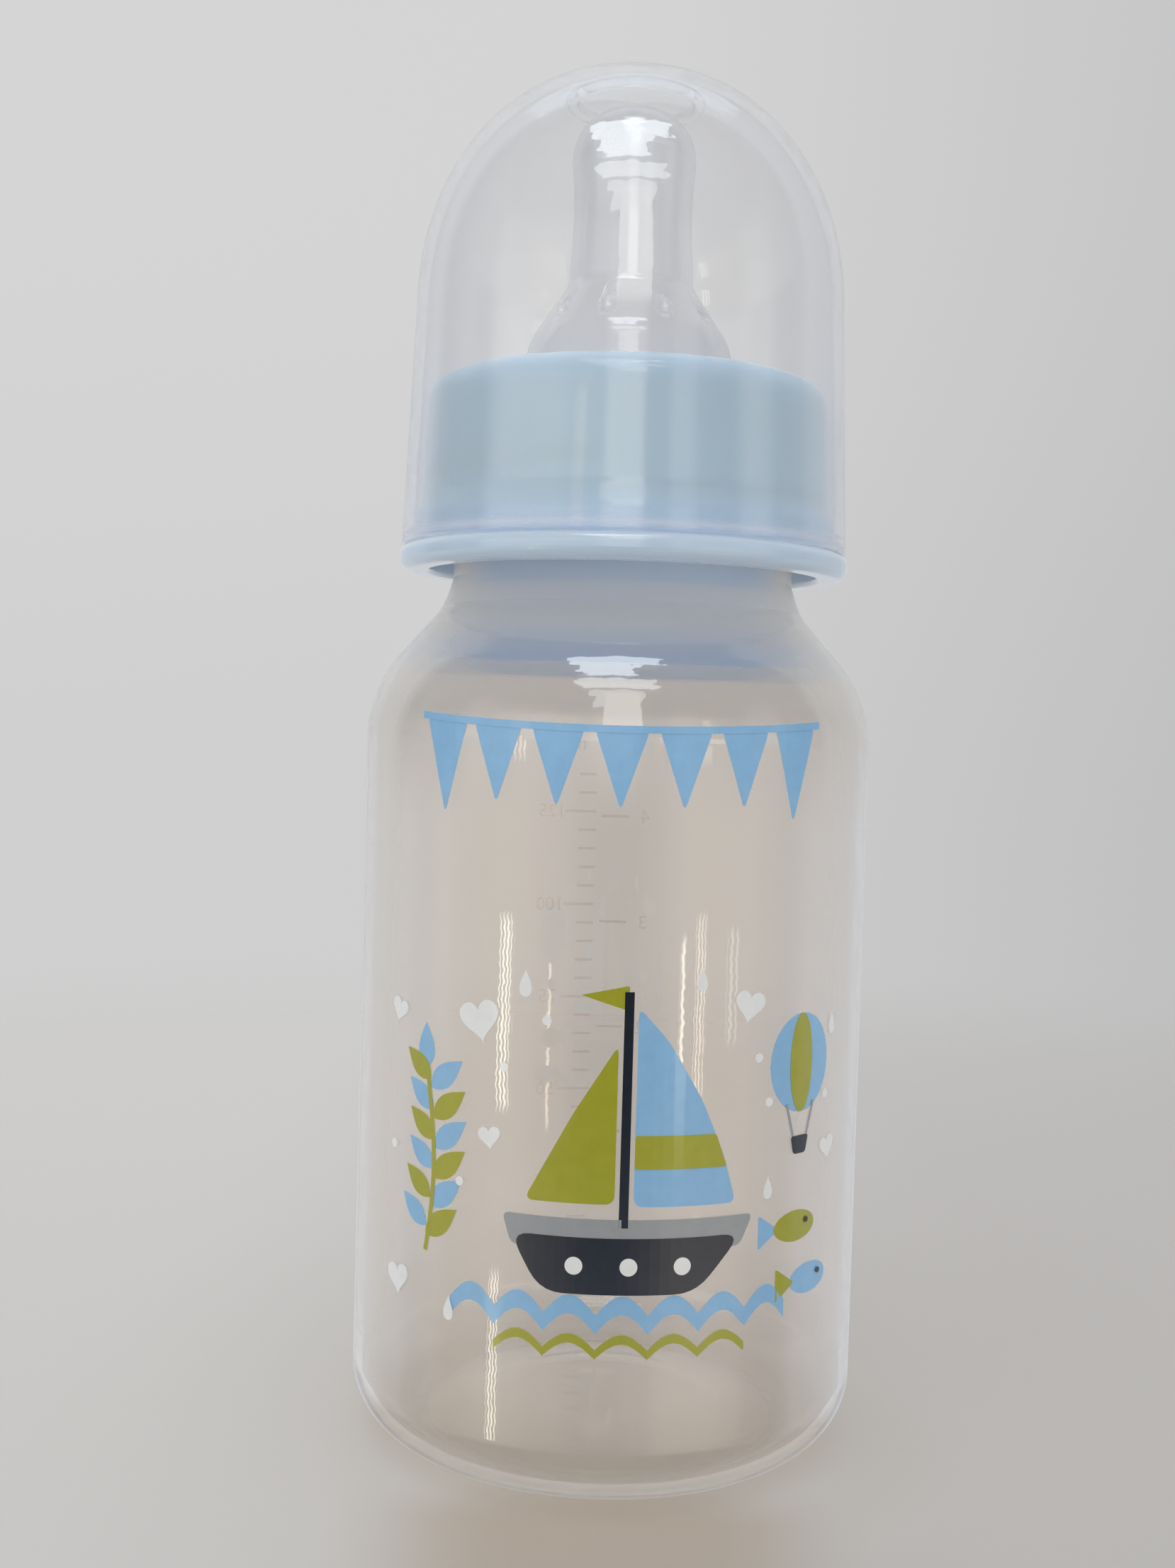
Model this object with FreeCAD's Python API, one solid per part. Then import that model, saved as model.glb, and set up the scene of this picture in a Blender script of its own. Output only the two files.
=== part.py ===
# Baby bottle, standard neck, 125 ml: clear bottle, silicone teat, screw ring and domed hood.
# Millimetres. +Z is up along the bottle's axis, and z = 0 is the ring that it stands on.
import FreeCAD, Part
import os
from math import cos, hypot, radians, sin, tan

os.makedirs("parts", exist_ok=True)

AXIS_FOOT = FreeCAD.Vector(0, 0, 0)
UP = FreeCAD.Vector(0, 0, 1)

# --- driving dimensions ---------------------------------------------------------------

# bottle shell
body_radius = 27.0
body_wall = 1.0
body_height = 74.3             # where the straight side meets the shoulder
heel_radius = 7.1              # rounding between side and base
stand_ring_width = 1.2         # flat ring that touches the table
stand_ring_edge = 0.8
push_up_width = 3.2            # slope between the ring and the raised middle of the base
push_up_height = 1.5
push_up_edge = 2.0
floor_thickness = 1.3
shoulder_rounding = 12.8
shoulder_angle = 41.5          # degrees from the vertical

# bottle neck
neck_radius = 18.2
neck_wall = 1.5
neck_flare = 1.0               # how much wider the neck is where the shoulder meets it
neck_flare_height = 3.1
neck_height = 18.0             # straight neck above the flare
neck_inner_blend = 4.0
mouth_edge = 0.5

# screw ring
ring_wall = 1.1
ring_draft = 0.65              # how much wider the side is at the flange than at the top
ring_top_thickness = 1.7
ring_top_edge = 2.6
ring_inner_edge = 1.2
flange_thickness = 2.6
flange_lower_edge = 1.1
flange_upper_edge = 0.4
seat_width = 0.7               # low collar above the flange that carries the hood's rim
seat_height = 2.8
seat_slope = 1.2
seat_edge = 0.8
bore_lead_in = 0.5

# teat
teat_hole_radius = 11.2        # hole in the ring that the teat is pulled through
teat_flange_thickness = 1.4
teat_flange_edge = 0.4
teat_lip_width = 0.7           # lip above the ring, wider than the hole
teat_lip_height = 0.7
teat_lip_edge = 0.25
teat_lip_overhang = 0.45       # lip beyond the foot of the bell
bell_top_radius = 10.75        # bell between the lip and the stem
bell_top_height = 4.4
bell_rounding = 5.0
stem_foot_radius = 6.75
stem_foot_height = 10.35
stem_foot_rounding = 2.2
waist_radius = 6.22
waist_height = 18.7
waist_rounding = 40.0
tip_corner_radius = 7.1
tip_height = 29.4
tip_rounding = 5.5
teat_wall = 1.6
feed_hole_radius = 0.4
vent_hole_radius = 0.5         # in the flange, over the open mouth
dimple_count = 10
dimple_ball_radius = 1.5
dimple_depth = 0.5
dimple_height = 7.7            # above the ring
dimple_turn = 3.0              # degrees that the row is turned about the axis

# hood
hood_wall = 1.1
hood_draft = 1.01              # how much narrower the side is at the foot of the dome
hood_side_height = 24.8        # from the rim to the foot of the dome
crown_height = 3.6             # top of the dome above the teat's tip
dome_fullness = 2.15           # 2 is an ellipse, more is fuller
hood_rim_edge = 0.3
crown_ring_radius = 7.45       # ring inside the crown that closes on the teat
crown_ring_wall = 1.0
crown_ring_edge = 0.3

# clearances between pieces
thread_space = 1.95            # neck to the ring's bore at its top, where the threads go
ring_clearance = 0.7           # ring above the neck's flare
flange_clearance = 0.6         # edge of the teat's flange inside the neck's outside
hole_clearance = 0.15          # teat in the ring's hole
hood_clearance = 0.15          # hood round the seat collar
flange_overhang = 0.15         # ring's flange beyond the hood's rim
tip_clearance = 0.3            # crown ring above the teat's tip

# --- levels and radii worked out from the sizes ------------------------------------------

shoulder_tangent_z = body_height + shoulder_rounding * tan(radians(shoulder_angle / 2))
shoulder_slope = tan(radians(shoulder_angle))
neck_root_radius = neck_radius + neck_flare
neck_root_z = shoulder_tangent_z + (body_radius - neck_root_radius) / shoulder_slope
neck_foot_z = neck_root_z + neck_flare_height
neck_bore_radius = neck_radius - neck_wall
mouth_z = neck_foot_z + neck_height

ring_under_z = mouth_z + teat_flange_thickness
ring_top_z = ring_under_z + ring_top_thickness
ring_foot_z = neck_foot_z + ring_clearance
rim_z = ring_foot_z + flange_thickness
ring_top_radius = neck_radius + thread_space + ring_wall
ring_skirt_radius = ring_top_radius + ring_draft
seat_foot_radius = ring_skirt_radius + seat_width

teat_flange_radius = neck_radius - flange_clearance
teat_neck_radius = teat_hole_radius - hole_clearance
teat_lip_radius = teat_hole_radius + teat_lip_width
bell_foot_radius = teat_lip_radius - teat_lip_overhang
tip_z = ring_top_z + tip_height

hood_rim_bore = seat_foot_radius + hood_clearance
hood_rim_radius = hood_rim_bore + hood_wall
hood_side_radius = hood_rim_radius - hood_draft
flange_radius = hood_rim_radius + flange_overhang
dome_foot_z = rim_z + hood_side_height
dome_height = tip_z + crown_height - dome_foot_z


def hood_bore_at(z):
    """Inner radius of the hood's tapered side."""
    share = (z - rim_z) / hood_side_height
    return hood_rim_bore - hood_draft * share


def ring_side_at(z):
    """Outer radius of the ring's tapered side."""
    share = (z - rim_z) / (ring_top_z - rim_z)
    return ring_skirt_radius - ring_draft * share


# --- profile tools: outlines are lists of (radius, z, rounding) -----------------------------

def place(radius, z):
    return FreeCAD.Vector(radius, 0, z)


def rounded_corner(before, corner, after, rounding):
    """Start, end and arc of the tangent arc that rounds a corner."""
    back = (before - corner).normalize()
    ahead = (after - corner).normalize()
    half = back.getAngle(ahead) / 2
    reach = rounding / tan(half)
    inward = (back + ahead).normalize()
    middle = corner + inward * (rounding / sin(half) - rounding)
    start = corner + back * reach
    end = corner + ahead * reach
    return start, end, Part.Arc(start, middle, end).toShape()


def outline_edges(outline):
    """Edges of an open outline, with its corners rounded."""
    places = [place(radius, z) for radius, z, rounding in outline]
    edges = []
    last = places[0]
    for i in range(1, len(places)):
        target = places[i]
        rounding = outline[i][2]
        if rounding and i < len(places) - 1:
            target, end, arc = rounded_corner(places[i - 1], places[i], places[i + 1], rounding)
        if (target - last).Length > 1e-6:
            edges.append(Part.LineSegment(last, target).toShape())
        last = target
        if rounding and i < len(places) - 1:
            edges.append(arc)
            last = end
    return edges


def moved_left(outline, wall):
    """The outline moved sideways by the wall, to the left of the way that it runs."""
    lines = []
    for (r0, z0, _), (r1, z1, _) in zip(outline, outline[1:]):
        length = hypot(r1 - r0, z1 - z0)
        along = ((r1 - r0) / length, (z1 - z0) / length)
        lines.append((r0 - along[1] * wall, z0 + along[0] * wall, along, length))
    moved = [(lines[0][0], lines[0][1], 0)]
    for i in range(1, len(lines)):
        ra, za, way_a, _ = lines[i - 1]
        rb, zb, way_b, _ = lines[i]
        turn = way_a[0] * way_b[1] - way_a[1] * way_b[0]
        reach = ((rb - ra) * way_b[1] - (zb - za) * way_b[0]) / turn
        rounding = outline[i][2]
        if rounding:
            rounding += -wall if turn > 0 else wall
        moved.append((ra + way_a[0] * reach, za + way_a[1] * reach, max(rounding, 0)))
    r, z, way, length = lines[-1]
    moved.append((r + way[0] * length, z + way[1] * length, 0))
    return moved


def revolved(edges):
    """Solid of revolution of a closed set of edges."""
    wire = Part.Wire(Part.__sortEdges__(edges))
    return Part.Face(wire).revolve(AXIS_FOOT, UP, 360)


def turned(outline):
    """Solid of revolution of a closed outline."""
    return revolved(outline_edges(outline + [outline[0]]))


def upright_hole(radius, from_axis, z_low, z_high):
    return Part.makeCylinder(radius, z_high - z_low, place(from_axis, z_low), UP)


# --- bottle ---------------------------------------------------------------------------------

def make_bottle():
    stand_outer = body_radius - heel_radius
    stand_inner = stand_outer - stand_ring_width
    push_up_radius = stand_inner - push_up_width
    outside = [
        (0, push_up_height, 0),
        (push_up_radius, push_up_height, push_up_edge),
        (stand_inner, 0, stand_ring_edge),
        (body_radius, 0, heel_radius),
        (body_radius, shoulder_tangent_z, shoulder_rounding),
        (neck_root_radius, neck_root_z, 0),
        (neck_radius, neck_foot_z, 0),
        (neck_radius, mouth_z, mouth_edge),
    ]
    bore = body_radius - body_wall
    inner_tangent_z = body_height + (shoulder_rounding - body_wall) * tan(radians(shoulder_angle / 2))
    inner_root_z = inner_tangent_z + (bore - neck_bore_radius) / shoulder_slope
    inside = [
        (neck_bore_radius, mouth_z, mouth_edge),
        (neck_bore_radius, inner_root_z, neck_inner_blend),
        (bore, inner_tangent_z, shoulder_rounding - body_wall),
        (bore, floor_thickness, heel_radius - body_wall),
        (stand_inner, floor_thickness, stand_ring_edge),
        (push_up_radius, push_up_height + floor_thickness, push_up_edge),
        (0, push_up_height + floor_thickness, 0),
    ]
    return turned(outside + inside)


# --- teat -----------------------------------------------------------------------------------

def teat_side():
    """Outline of the bell, stem and tip, from the bell's foot up to the axis."""
    return [
        (bell_foot_radius, ring_top_z + teat_lip_height, 0),
        (bell_top_radius, ring_top_z + bell_top_height, bell_rounding),
        (stem_foot_radius, ring_top_z + stem_foot_height, stem_foot_rounding),
        (waist_radius, ring_top_z + waist_height, waist_rounding),
        (tip_corner_radius, tip_z, tip_rounding),
        (0, tip_z, 0),
    ]


def radius_on(outline, z):
    """Radius of a rising outline at a height, corners not rounded."""
    for (r0, z0, _), (r1, z1, _) in zip(outline, outline[1:]):
        if z0 <= z <= z1:
            return r0 + (r1 - r0) * (z - z0) / (z1 - z0)


def make_teat():
    side = teat_side()
    inside = moved_left(side, teat_wall)[1:]
    foot_bore = teat_neck_radius - teat_wall
    outline = [
        (foot_bore, mouth_z, 0),
        (teat_flange_radius, mouth_z, teat_flange_edge),
        (teat_flange_radius, ring_under_z, teat_flange_edge),
        (teat_neck_radius, ring_under_z, 0),
        (teat_neck_radius, ring_top_z, 0),
        (teat_lip_radius, ring_top_z, teat_lip_edge),
        (teat_lip_radius, ring_top_z + teat_lip_height, teat_lip_edge),
    ]
    solid = turned(outline + side + inside[::-1])
    feed_hole = upright_hole(feed_hole_radius, 0, tip_z - 2 * teat_wall, tip_z + teat_wall)
    vent_hole = upright_hole(vent_hole_radius, (teat_neck_radius + neck_bore_radius) / 2,
                             mouth_z - teat_flange_thickness, ring_under_z + teat_flange_thickness)
    dimple_z = ring_top_z + dimple_height
    ball_place = radius_on(side, dimple_z) + dimple_ball_radius - dimple_depth
    dimples = []
    for i in range(dimple_count):
        ball = Part.makeSphere(dimple_ball_radius, place(ball_place, dimple_z))
        ball.rotate(AXIS_FOOT, UP, -90 + dimple_turn + (i + 0.5) * 360 / dimple_count)
        dimples.append(ball)
    return solid.cut([feed_hole, vent_hole] + dimples)


# --- screw ring -------------------------------------------------------------------------------

def make_ring():
    seat_top_z = rim_z + seat_height
    seat_top_radius = hood_bore_at(seat_top_z) - hood_clearance
    above_seat_z = seat_top_z + seat_slope
    return turned([
        (teat_hole_radius, ring_top_z, 0),
        (ring_top_radius, ring_top_z, ring_top_edge),
        (ring_side_at(above_seat_z), above_seat_z, seat_edge),
        (seat_top_radius, seat_top_z, seat_edge),
        (seat_foot_radius, rim_z, 0),
        (flange_radius, rim_z, flange_upper_edge),
        (flange_radius, ring_foot_z, flange_lower_edge),
        (ring_skirt_radius - ring_wall, ring_foot_z, bore_lead_in),
        (ring_top_radius - ring_wall, ring_under_z, ring_inner_edge),
        (teat_hole_radius, ring_under_z, 0),
    ])


# --- hood -------------------------------------------------------------------------------------

def dome_point(shrink, degrees):
    """Point of the dome, drawn in from the outside by shrink, from 0 at its foot to 90."""
    across = cos(radians(degrees)) ** (2 / dome_fullness)
    rise = sin(radians(degrees)) ** (2 / dome_fullness)
    return place((hood_side_radius - shrink) * across, dome_foot_z + (dome_height - shrink) * rise)


def dome_z(shrink, radius):
    share = (radius / (hood_side_radius - shrink)) ** dome_fullness
    return dome_foot_z + (dome_height - shrink) * (1 - share) ** (1 / dome_fullness)


def dome_edge(shrink):
    """Smooth curve from the dome's foot to its crown."""
    steps = [0, 10, 22, 35, 48, 60, 71, 81]
    points = [dome_point(shrink, degrees) for degrees in steps]
    points.append(place(0, dome_foot_z + dome_height - shrink))
    curve = Part.BSplineCurve()
    side = place(-hood_draft, hood_side_height).normalize()
    curve.interpolate(points, InitialTangent=side, FinalTangent=place(-1, 0))
    return curve.toShape()


def make_hood():
    rim = [
        (hood_side_radius - hood_wall, dome_foot_z, 0),
        (hood_rim_bore, rim_z, hood_rim_edge),
        (hood_rim_radius, rim_z, hood_rim_edge),
        (hood_side_radius, dome_foot_z, 0),
    ]
    crown = Part.LineSegment(place(0, dome_foot_z + dome_height),
                             place(0, dome_foot_z + dome_height - hood_wall)).toShape()
    shell = revolved(outline_edges(rim) + [dome_edge(0), crown, dome_edge(hood_wall)])
    ring_bore = crown_ring_radius - crown_ring_wall
    crown_ring_foot = tip_z + tip_clearance
    crown_ring = turned([
        (ring_bore, dome_z(hood_wall / 2, ring_bore), 0),
        (ring_bore, crown_ring_foot, crown_ring_edge),
        (crown_ring_radius, crown_ring_foot, crown_ring_edge),
        (crown_ring_radius, dome_z(hood_wall / 2, crown_ring_radius), 0),
    ])
    return shell.fuse(crown_ring).removeSplitter()


# --- the pieces, one file each ------------------------------------------------------------------

pieces = {
    "bottle_body": make_bottle(),
    "silicone_teat": make_teat(),
    "screw_ring": make_ring(),
    "clear_hood": make_hood(),
}
for name, shape in pieces.items():
    shape.exportStep("parts/" + name + ".step")
    box = shape.BoundBox
    print(name, "valid", shape.isValid(), "solids", len(shape.Solids), "volume", round(shape.Volume),
          "z", round(box.ZMin, 2), "to", round(box.ZMax, 2), "wide", round(box.XLength, 2))
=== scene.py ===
import bmesh
import bpy
from math import ceil, cos, degrees, floor, pi, radians, sin, tan
from mathutils import Matrix, Vector


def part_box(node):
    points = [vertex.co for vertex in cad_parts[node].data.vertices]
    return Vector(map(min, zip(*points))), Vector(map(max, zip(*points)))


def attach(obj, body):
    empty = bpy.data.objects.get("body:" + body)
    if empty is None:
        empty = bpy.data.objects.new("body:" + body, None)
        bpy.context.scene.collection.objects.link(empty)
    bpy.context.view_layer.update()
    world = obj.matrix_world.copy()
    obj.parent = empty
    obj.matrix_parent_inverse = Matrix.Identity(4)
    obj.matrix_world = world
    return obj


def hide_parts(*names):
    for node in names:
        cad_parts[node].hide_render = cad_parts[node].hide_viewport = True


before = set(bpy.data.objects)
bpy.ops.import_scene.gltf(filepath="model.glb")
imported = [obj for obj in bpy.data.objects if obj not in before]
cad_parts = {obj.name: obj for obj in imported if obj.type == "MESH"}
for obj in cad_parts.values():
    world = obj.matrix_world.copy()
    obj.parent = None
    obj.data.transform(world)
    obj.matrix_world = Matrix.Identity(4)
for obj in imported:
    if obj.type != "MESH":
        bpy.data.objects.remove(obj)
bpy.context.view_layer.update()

mm = 0.001
_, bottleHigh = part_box("bottle_body")
_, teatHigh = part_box("silicone_teat")
ringLow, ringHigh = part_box("screw_ring")
hoodLow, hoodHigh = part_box("clear_hood")
print("frame loaded")


def putDown():
    # leave edit mode with nothing selected
    if bpy.context.object and bpy.context.object.mode == "EDIT":
        bpy.ops.object.mode_set(mode="OBJECT")
    bpy.ops.object.select_all(action="DESELECT")


def pickUp(piece):
    putDown()
    piece.select_set(True)
    bpy.context.view_layer.objects.active = piece


def linear(code):
    # a paint-chip code such as A0B1C2 as a shader colour
    parts = [int(code[i:i + 2], 16) / 255 for i in (0, 2, 4)]
    return [c / 12.92 if c < 0.04045 else ((c + 0.055) / 1.055) ** 2.4 for c in parts] + [1.0]


def roundCorner(piece, corner, finest=7.0):
    # one corner of an outline, bevelled to an arc
    radius, z, rounding = corner
    mesh = bmesh.from_edit_mesh(piece.data)
    spot = Vector((radius, 0, z)) * mm
    vertex = min(mesh.verts, key=lambda v: (v.co - spot).length)
    ends = [edge.other_vert(vertex).co - vertex.co for edge in vertex.link_edges]
    between = ends[0].angle(ends[1])
    for v in mesh.verts:
        v.select_set(False)
    vertex.select_set(True)
    mesh.select_flush(True)
    bmesh.update_edit_mesh(piece.data)
    steps = max(3, ceil(degrees(pi - between) / finest))
    bpy.ops.mesh.bevel(affect="VERTICES", offset=rounding * mm / tan(between / 2), segments=steps,
                       profile=0.5, clamp_overlap=False)


def drawOutline(name, corners):
    # a chain of corners (radius, z, rounding) in millimetres, each pulled out of the last
    putDown()
    bpy.ops.mesh.primitive_plane_add(size=mm)
    piece = bpy.context.object
    piece.name = piece.data.name = name
    bpy.ops.object.mode_set(mode="EDIT")
    bpy.ops.mesh.select_mode(type="VERT")
    bpy.ops.mesh.select_all(action="SELECT")
    bpy.ops.mesh.merge(type="CENTER")
    bpy.ops.transform.translate(value=(corners[0][0] * mm, 0, corners[0][1] * mm))
    for last, corner in zip(corners, corners[1:]):
        step = ((corner[0] - last[0]) * mm, 0, (corner[1] - last[1]) * mm)
        bpy.ops.mesh.extrude_vertices_move(TRANSFORM_OT_translate={"value": step})
    return piece


def turnOutline(name, corners, around=192, closed=False):
    # draws an outline and spins it once round the bottle's axis
    piece = drawOutline(name, corners + corners[:1] if closed else corners)
    bpy.ops.mesh.select_all(action="SELECT")
    bpy.ops.mesh.remove_doubles(threshold=1e-7)
    for corner in corners:
        if corner[2]:
            roundCorner(piece, corner)
    bpy.ops.mesh.select_all(action="SELECT")
    bpy.ops.mesh.spin(steps=around, angle=2 * pi, center=(0, 0, 0), axis=(0, 0, 1))
    bpy.ops.mesh.select_all(action="SELECT")
    bpy.ops.mesh.remove_doubles(threshold=1e-6)
    bpy.ops.mesh.normals_make_consistent(inside=False)
    putDown()
    smoothPiece(piece)
    return piece


def smoothPiece(piece, angle=32):
    # smooth, but long faces keep their own direction
    pickUp(piece)
    bpy.ops.object.shade_smooth_by_angle(angle=radians(angle))
    even = piece.modifiers.new("evenShade", "WEIGHTED_NORMAL")
    even.weight = 80
    even.keep_sharp = True
    bpy.ops.object.modifier_apply(modifier=even.name)
    putDown()


def applyAll(piece):
    pickUp(piece)
    for modifier in list(piece.modifiers):
        bpy.ops.object.modifier_apply(modifier=modifier.name)
    putDown()


def insideOf(corners, wall):
    # the same outline a wall's thickness further in
    lines = []
    for (ra, za, _), (rb, zb, _) in zip(corners, corners[1:]):
        way = Vector((rb - ra, zb - za)).normalized()
        lines.append((Vector((ra, za)) + Vector((-way.y, way.x)) * wall, way))
    moved = []
    for i in range(1, len(lines)):
        (a, wayA), (b, wayB) = lines[i - 1], lines[i]
        turn = wayA.x * wayB.y - wayA.y * wayB.x
        reach = ((b.x - a.x) * wayB.y - (b.y - a.y) * wayB.x) / turn
        spot = a + wayA * reach
        rounding = corners[i][2] and max(corners[i][2] + (-wall if turn > 0 else wall), 0.2)
        moved.append((spot.x, spot.y, rounding))
    last, way = lines[-1]
    moved.append((corners[-1][0], last.y, 0))
    return moved


def finishPiece(piece, body, *materials):
    piece.data.materials.clear()
    for material in materials:
        piece.data.materials.append(material)
    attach(piece, body)
    return piece


def newMaterial(name):
    material = bpy.data.materials.new(name)
    material.use_nodes = True
    return material, material.node_tree


def addNode(tree, kind, values=(), **settings):
    # a node with its settings and its sockets, by order or by name; gives its outputs
    node = tree.nodes.new("ShaderNode" + kind)
    for name, setting in settings.items():
        setattr(node, name, setting)
    for name, value in values.items() if isinstance(values, dict) else enumerate(values):
        plug(tree, node.inputs[name], value)
    return node.outputs


def plug(tree, socket, value):
    # a link from another node, or a plain number or colour
    if isinstance(value, bpy.types.NodeSocket):
        tree.links.new(value, socket)
    else:
        socket.default_value = value


def addMath(tree, operation, *values, **settings):
    return addNode(tree, "Math", values, operation=operation, **settings)["Value"]


def addSlide(tree, value, low, high, least=0.0, most=1.0, way="SMOOTHSTEP"):
    # least up to low and most from high on, or the other way round where high is the lower
    return addNode(tree, "MapRange", (value, low, high, least, most), interpolation_type=way)["Result"]


def spread(tree, value, low, high):
    return addSlide(tree, value, 0.0, 1.0, low, high, "LINEAR")


def addMix(tree, factor, a, b, way="MIX"):
    sockets = {"Factor": factor, "A": a, "B": b}
    return addNode(tree, "Mix", sockets, data_type="RGBA", blend_type=way)["Result"]


def mixShaders(tree, factor, a, b):
    return addNode(tree, "MixShader", (factor, a, b))["Shader"]


def addRamp(tree, value, stops):
    # a colour ramp whose stops are at values of their own
    low, high = stops[0][0], stops[-1][0]
    node = tree.nodes.new("ShaderNodeValToRGB")
    plug(tree, node.inputs["Fac"], addSlide(tree, value, low, high, way="LINEAR"))
    elements = node.color_ramp.elements
    while len(elements) < len(stops):
        elements.new(0.5)
    for element, (spot, colour) in zip(elements, stops):
        element.position = (spot - low) / (high - low)
        element.color = colour if len(colour) > 3 else (*colour, 1)
    return node.outputs


def placeOn(tree, kind="Object"):
    # the coordinates whole and in parts
    place = addNode(tree, "TexCoord")[kind]
    return (place, *addNode(tree, "SeparateXYZ", (place,)))


def addNoise(tree, scale, stretch=(1, 1, 1), detail=3.0):
    # noise on the piece's own coordinates, scale in features per metre
    place = addNode(tree, "TexCoord")["Object"]
    stretched = addNode(tree, "Mapping", {"Vector": place, "Scale": stretch})["Vector"]
    return addNode(tree, "TexNoise", {"Vector": stretched, "Scale": scale, "Detail": detail})["Fac"]


def addBump(tree, shader, height, distance, strength):
    bump = addNode(tree, "Bump", {"Height": height, "Distance": distance, "Strength": strength})
    plug(tree, shader.inputs["Normal"], bump["Normal"])


# where the haze and painted light by height fade: by edge facing, 0 face on to 1 on edge, and by height in
# mm
levelFades = {
    "sideOn": (0.3, 0.75), "aboveFoot": (9, 16), "foot": (12, 6),
    "rootSideOn": (0.85, 0.65), "root": (83.6, 84.6), "shoulder": (76, 81),
}


def addHazeAndPaintedLight(tree, look, edge):
    # by height: colour and amount of more haze, the wall's tint and the share of the edge haze; the
    # colours and tints hold painted shade and highlights as well as haze

    def times(a, b):
        return addMath(tree, "MULTIPLY", a, b)

    def facing(name, most=1.0):
        return addSlide(tree, edge, *levelFades[name], 0.0, most)

    def heightAt(value, name):
        low, high = levelFades[name]
        return addSlide(tree, value, low * mm, high * mm)

    z = placeOn(tree)[3]
    height = z
    if look["drop"]:
        # the bands of haze and painted shade climb towards the sides of the shoulder
        drop = times(facing("sideOn", look["drop"] * mm), heightAt(z, "shoulder"))
        height = addMath(tree, "SUBTRACT", z, drop)
    haze = addRamp(tree, height, [(up * mm, (*colour, more)) for up, more, colour, _, _ in look["levels"]])
    wall = addRamp(tree, height, [(up * mm, (*(clear * c for c in look["tint"][:3]), share))
                                  for up, _, _, clear, share in look["levels"]])
    # the haze and painted light show face on, near the foot from every side, and further round at the
    # neck's root
    shown = addSlide(tree, edge, *look["middle"])
    shown = addMath(tree, "MAXIMUM", shown, heightAt(z, "foot"))
    shown = addMath(tree, "MAXIMUM", shown, times(heightAt(height, "root"), facing("rootSideOn")))
    plain = times(facing("sideOn"), heightAt(z, "aboveFoot"))
    return (addMix(tree, plain, haze["Color"], look["milk"]), times(haze["Alpha"], shown),
            addMix(tree, plain, wall["Color"], look["tint"]), wall["Alpha"])


def makeClear(name, look):
    # clear moulded stuff with a little haze, which light passes on its way to what is behind
    material, tree = newMaterial(name)
    shader = tree.nodes["Principled BSDF"]
    shader.inputs["IOR"].default_value = look["ior"]
    shader.inputs["Transmission Weight"].default_value = 1.0
    ripple = addNoise(tree, look["rippleScale"], look["rippleStretch"], 1.0)
    addBump(tree, shader, ripple, look["rippleDepth"], 1.0)
    smear = addNoise(tree, look["smearScale"])
    plug(tree, shader.inputs["Roughness"], spread(tree, smear, *look["rough"]))

    # haze: faint face on, milky where the wall is seen on edge
    edge = addNode(tree, "LayerWeight", {"Blend": 0.5})["Facing"]
    amount = spread(tree, addMath(tree, "POWER", edge, look["hazeFall"]), *look["haze"])
    more = addMath(tree, "MULTIPLY_ADD", smear, *look["smears"])
    milk, tint = look["milk"], look["tint"]
    if "levels" in look:
        milk, extra, tint, share = addHazeAndPaintedLight(tree, look, edge)
        amount = addMath(tree, "MULTIPLY", amount, share)
        more = addMath(tree, "ADD", more, extra)
    amount = addMath(tree, "ADD", amount, more, use_clamp=True)
    plug(tree, shader.inputs["Base Color"], tint)
    haze = mixShaders(tree, 0.5, addNode(tree, "BsdfTranslucent", {"Color": milk})["BSDF"],
                      addNode(tree, "BsdfDiffuse", {"Color": milk})["BSDF"])
    body = mixShaders(tree, amount, shader.outputs["BSDF"], haze)

    # the outer face's own shine
    shine = addNode(tree, "BsdfGlossy", {"Roughness": look["shineRough"]})["BSDF"]
    mirror = addNode(tree, "Fresnel", {"IOR": look["shine"]})["Fac"]
    inner = addNode(tree, "NewGeometry")["Backfacing"]
    coated = mixShaders(tree, addMath(tree, "SUBTRACT", mirror, inner, use_clamp=True), body, shine)

    paths = addNode(tree, "LightPath")
    passes = addMath(tree, "MAXIMUM", paths["Is Shadow Ray"], paths["Is Diffuse Ray"])
    shade = addMix(tree, edge, look["shadowMiddle"], look["shadowEdge"])
    passing = addNode(tree, "BsdfTransparent", {"Color": shade})["BSDF"]
    surface = mixShaders(tree, passes, coated, passing)
    plug(tree, tree.nodes["Material Output"].inputs["Surface"], surface)
    return material


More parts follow.
